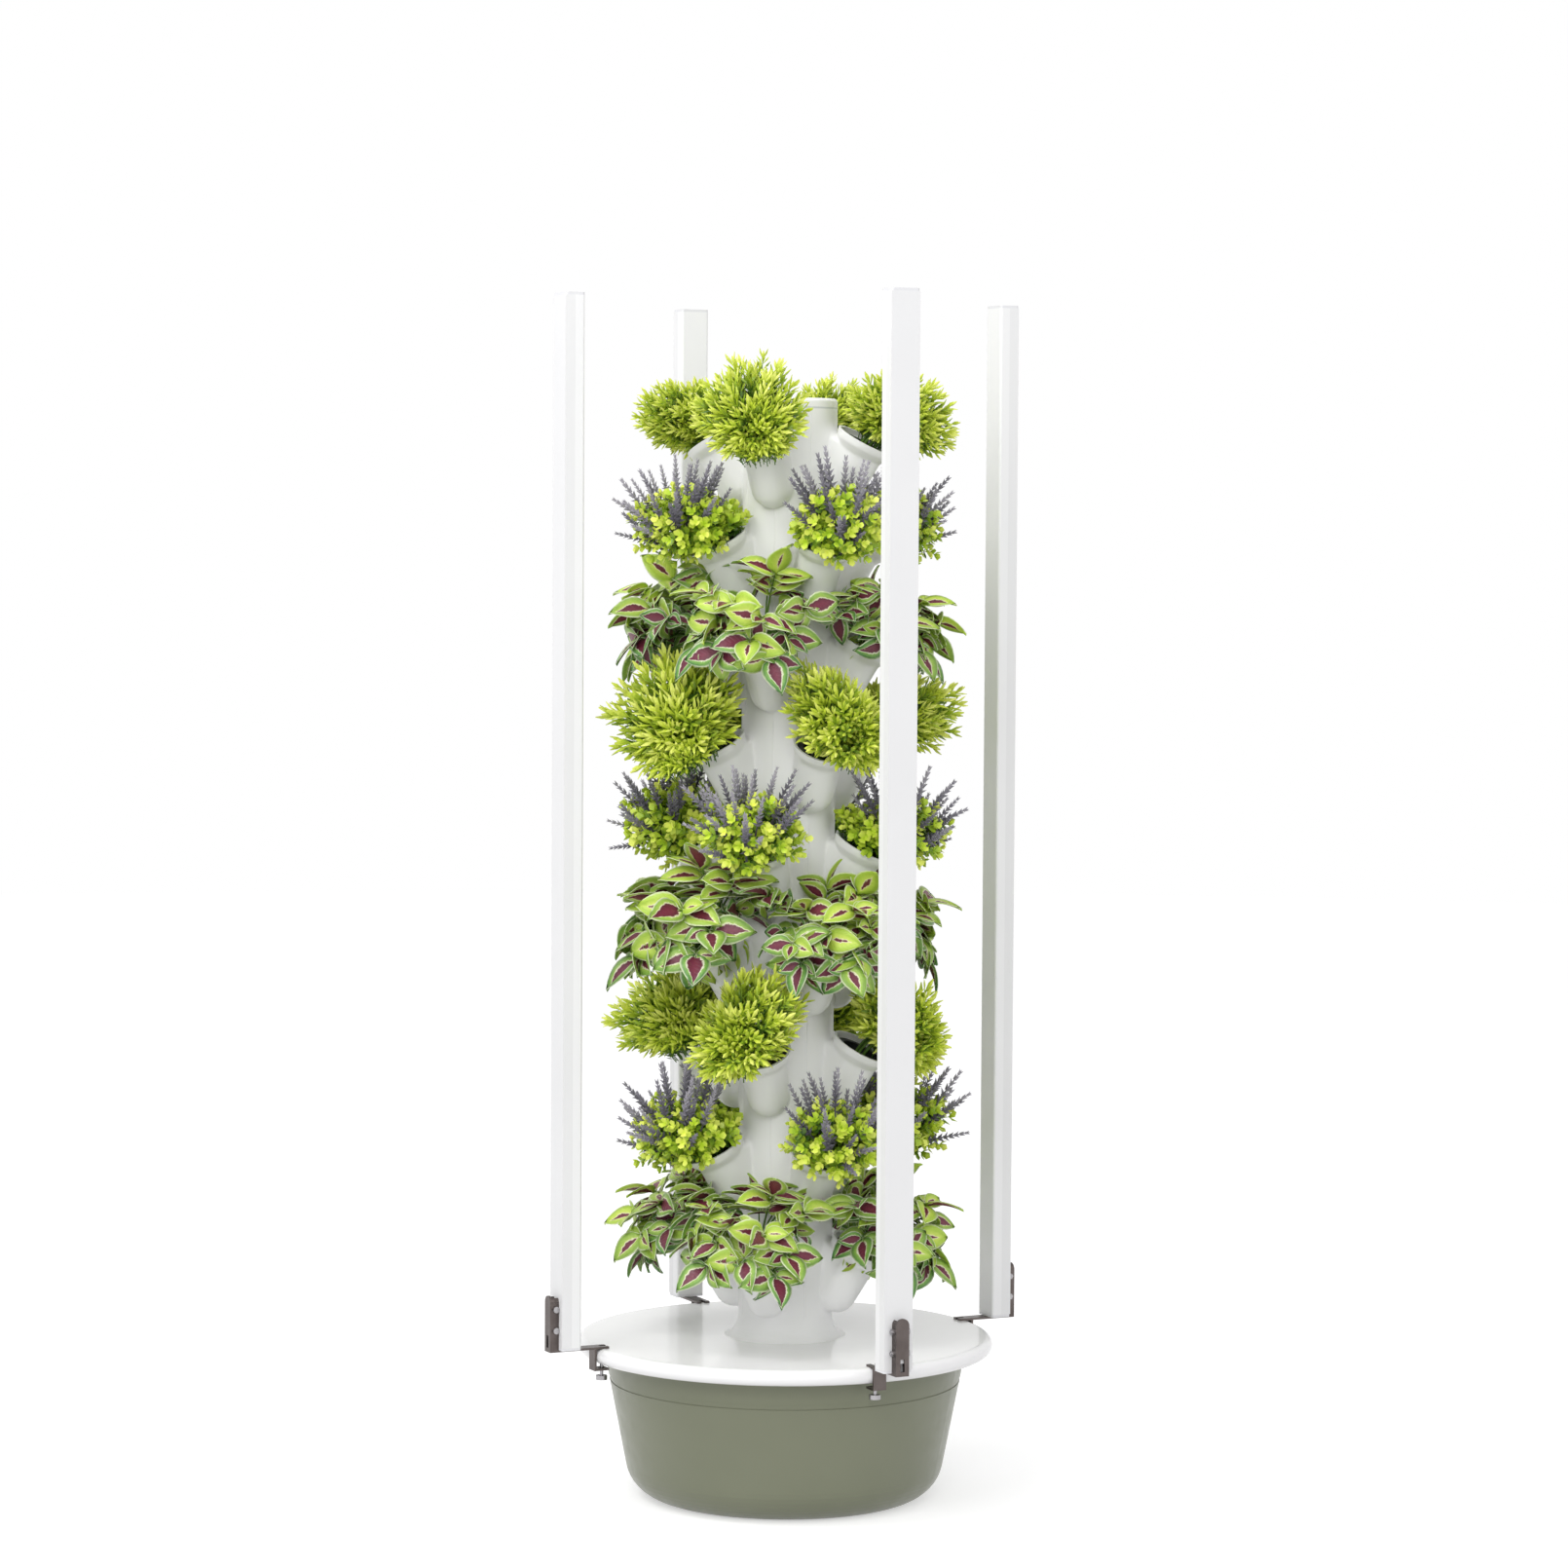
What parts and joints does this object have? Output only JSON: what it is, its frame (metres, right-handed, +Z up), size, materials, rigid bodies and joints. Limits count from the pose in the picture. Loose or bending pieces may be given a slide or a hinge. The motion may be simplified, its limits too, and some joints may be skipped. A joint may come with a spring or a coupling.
{
  "type": "hydroponic tower",
  "caption": "Vertical growing tower: round reservoir and lid, stacked pocket modules with net cups and plants, upright light bars, a pump and a water riser.",
  "frame": {"origin": "on the floor, under the middle of the column", "axes": "+Z up along the column; the four light bars stand on the diagonals of X and Y"},
  "size_m": [0.48, 0.48, 1.3782],
  "materials": {
    "sage_plastic": "satin moulded, sage green",
    "gloss_white": "glossy white",
    "column_white": "satin white",
    "drip_plastic": "satin pale grey",
    "riser_plastic": "smooth pale grey",
    "dark_plastic": "dark moulded",
    "foot_rubber": "matte black",
    "shaft_ceramic": "polished",
    "impeller_plastic": "smooth blue",
    "cup_plastic": "black moulded",
    "bar_housing": "white powder coat",
    "bar_diffuser": "opal white",
    "bar_caps": "satin pale grey",
    "led_board": "white board with LED chips",
    "bracket_steel": "dark stainless",
    "bolt_steel": "bright zinc",
    "bush_leaves": "lime and green needles",
    "lavender_leaves": "lime leaves, grey-purple spikes",
    "painted_leaves": "green, cream and dark red leaves"
  },
  "bodies": {
    "basin": {"reservoir": "sage_plastic", "pump_housing": "dark_plastic", "pump_cover": "dark_plastic", "pump_feet": "foot_rubber", "impeller_shaft": "shaft_ceramic"},
    "tower": {"lid": "gloss_white", "base_collar": "column_white", "drip_plate": "drip_plastic", "riser_lower": "riser_plastic", "riser_upper": "riser_plastic", "riser_coupler": "dark_plastic", "light_housings": "bar_housing", "light_diffusers": "bar_diffuser", "light_end_caps": "bar_caps", "led_boards": "led_board", "light_brackets": "bracket_steel", "bracket_bolts": "bolt_steel", "bracket_nuts": "bolt_steel", "clamp_screws": "bolt_steel", "module_1": "column_white", "module_2": "column_white", "module_3": "column_white", "module_4": "column_white", "module_5": "column_white", "module_6": "column_white", "module_7": "column_white", "module_8": "column_white", "module_9": "column_white", "net_cups_2": "cup_plastic", "plants_2": "lavender_leaves", "net_cups_3": "cup_plastic", "plants_3": "painted_leaves", "net_cups_4": "cup_plastic", "plants_4": "bush_leaves", "net_cups_5": "cup_plastic", "plants_5": "lavender_leaves", "net_cups_6": "cup_plastic", "plants_6": "painted_leaves", "net_cups_7": "cup_plastic", "plants_7": "bush_leaves", "net_cups_8": "cup_plastic", "plants_8": "lavender_leaves", "net_cups_9": "cup_plastic", "plants_9": "painted_leaves"},
    "impeller_body": {"impeller": "impeller_plastic"},
    "cap_body": {"top_cap": "column_white"},
    "pot_a": {"net_cup_1a": "cup_plastic", "plant_1a": "bush_leaves"},
    "pot_b": {"net_cup_1b": "cup_plastic", "plant_1b": "bush_leaves"},
    "pot_c": {"net_cup_1c": "cup_plastic", "plant_1c": "bush_leaves"},
    "pot_d": {"net_cup_1d": "cup_plastic", "plant_1d": "bush_leaves"}
  },
  "joints": [
    {"name": "lid_lift", "type": "slide", "parent": "basin", "child": "tower", "axis": [0, 0, 1], "range_m": [0, 0.15]},
    {"name": "impeller_spin", "type": "hinge", "parent": "basin", "child": "impeller_body", "pos_m": [0, 0, 0.034], "axis": [1, 0, 0], "continuous": true},
    {"name": "cap_lift", "type": "slide", "parent": "tower", "child": "cap_body", "axis": [0, 0, 1], "range_m": [0, 0.06]},
    {"name": "pot_lift_a", "type": "slide", "parent": "tower", "child": "pot_a", "axis": [0.4848, 0, 0.8746], "range_m": [0, 0.07]},
    {"name": "pot_lift_b", "type": "slide", "parent": "tower", "child": "pot_b", "axis": [0, 0.4848, 0.8746], "range_m": [0, 0.07]},
    {"name": "pot_lift_c", "type": "slide", "parent": "tower", "child": "pot_c", "axis": [-0.4848, 0, 0.8746], "range_m": [0, 0.07]},
    {"name": "pot_lift_d", "type": "slide", "parent": "tower", "child": "pot_d", "axis": [0, -0.4848, 0.8746], "range_m": [0, 0.07]}
  ]
}
